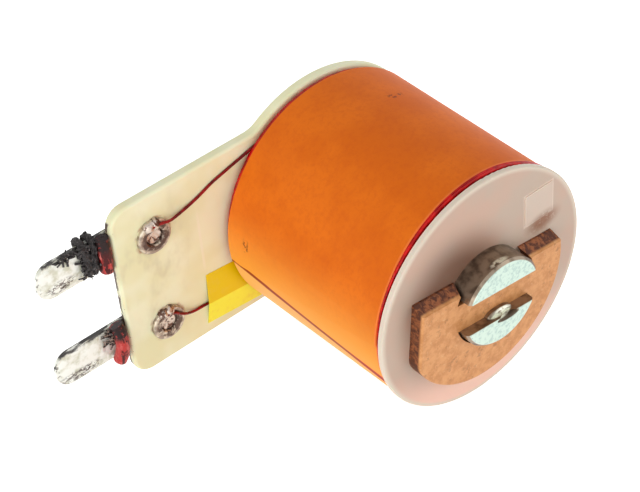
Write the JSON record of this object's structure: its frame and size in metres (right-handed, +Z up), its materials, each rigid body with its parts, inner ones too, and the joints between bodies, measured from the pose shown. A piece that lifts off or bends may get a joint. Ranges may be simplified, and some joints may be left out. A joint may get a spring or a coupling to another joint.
{
  "type": "relay coil",
  "caption": "Alternating-current relay coil: wound bobbin with an orange paper wrapper, a slotted pole core with a copper shading ring, and a terminal tab with soldered lugs.",
  "frame": {"origin": "mouth of the tapped hole, in the plane of the mounting face, on the coil axis", "axes": "+Y along the coil axis out of the tapped hole, so the pole face looks to -Y; the terminal tab reaches to -X; +Z up, across the tab"},
  "size_m": [0.0628, 0.0382, 0.0352],
  "materials": {
    "nylon": "natural cream nylon, a little translucent",
    "core_steel": "turned soft steel, bright on the pole face and dull on the sides",
    "copper": "mottled bare copper, dark on the cut edges",
    "magnet_wire": "glossy deep red enamel on copper wire",
    "paper": "orange insulating paper with a satin face",
    "plated_brass": "tin-plated brass, dull",
    "solder": "bright uneven solder with dark flux stains",
    "tape": "yellow film tape, glossy",
    "red_insulation": "red hook-up wire insulation, scorched",
    "char": "charred black, rough",
    "strands": "darkened copper strands"
  },
  "bodies": {
    "root": {"bobbin": "nylon", "pole_core": "core_steel", "shading_ring": "copper", "winding": "magnet_wire", "paper_wrapper": "paper", "lead_tape": "tape", "finish_lead": "magnet_wire", "start_lead": "magnet_wire", "upper_eyelet": "plated_brass", "lower_eyelet": "plated_brass", "upper_lug": "plated_brass", "lower_lug": "plated_brass", "upper_lug_solder": "solder", "lower_lug_solder": "solder", "upper_eyelet_solder": "solder", "lower_eyelet_solder": "solder", "lower_wire_insulation": "red_insulation", "upper_wire_insulation": "red_insulation", "lower_wire_strands": "strands", "upper_wire_char": "char"}
  },
  "joints": []
}
